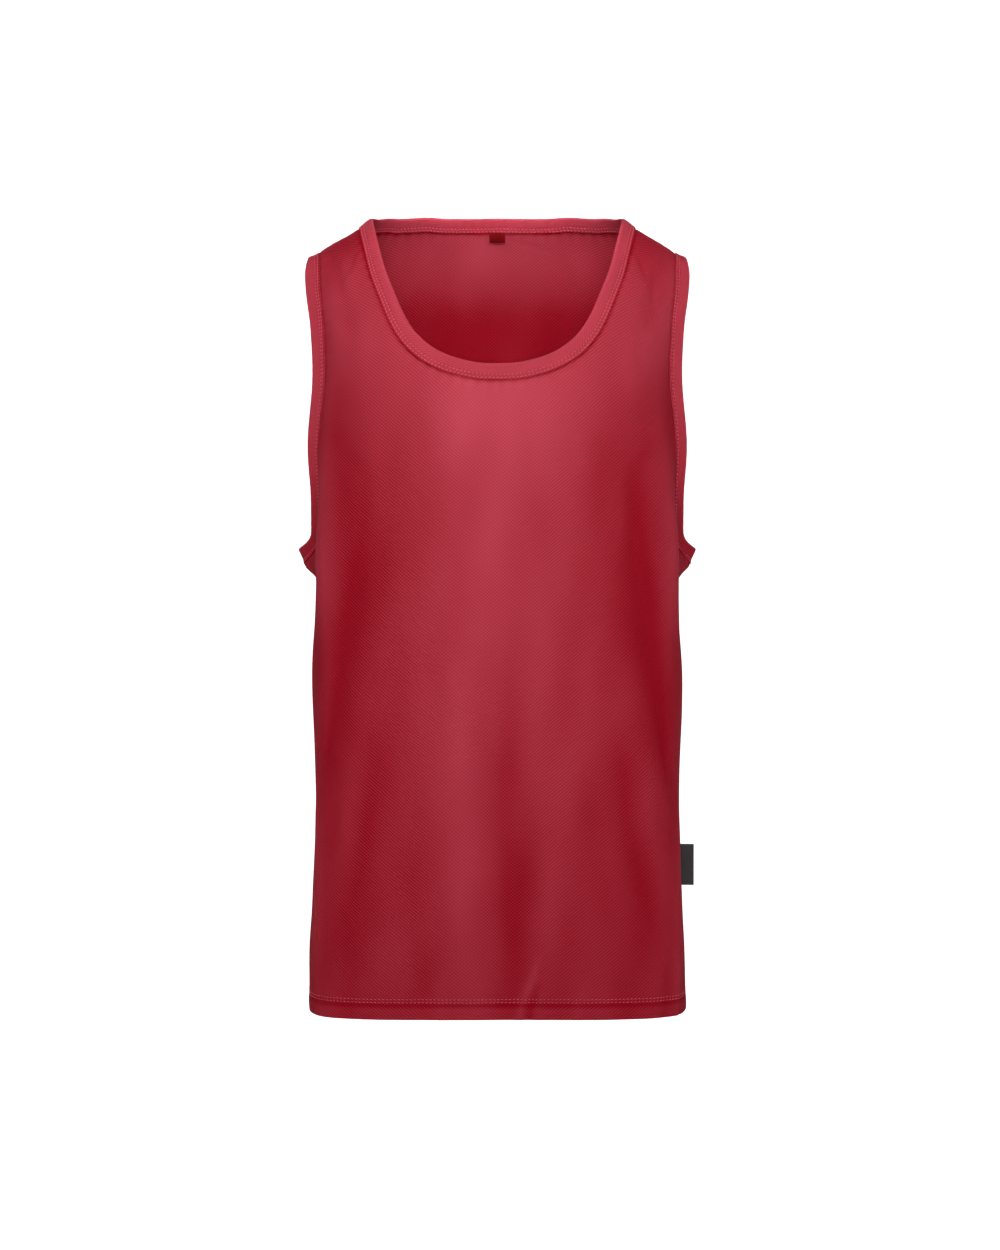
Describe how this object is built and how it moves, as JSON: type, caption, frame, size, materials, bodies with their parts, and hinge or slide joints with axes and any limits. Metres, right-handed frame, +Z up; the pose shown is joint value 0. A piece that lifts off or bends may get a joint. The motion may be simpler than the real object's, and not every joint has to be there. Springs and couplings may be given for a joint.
{
  "type": "tank top",
  "caption": "Sleeveless athletic tank top in red micro-mesh knit, filled out and hollow as worn, with bound scoop neck and armholes and a plain turned-up hem.",
  "frame": {"origin": "midway between the two points where the shoulder seams meet the neck opening, where the wearer's shoulders carry the top", "axes": "+Z up, the front faces -Y, and +X is towards the wearer's left"},
  "size_m": [0.3595, 0.2388, 0.726],
  "materials": {
    "jersey": "red polyester micro-mesh knit with fine dimples and a faint sheen",
    "binding": "folded strips of the same red knit",
    "size_label": "dark red woven loop label, bare",
    "side_label": "charcoal woven flag label, bare"
  },
  "bodies": {
    "root": {"front": "jersey", "back": "jersey", "neck_binding": "binding", "armhole_binding_left": "binding", "armhole_binding_right": "binding", "size_label": "size_label", "side_label": "side_label"}
  },
  "joints": []
}
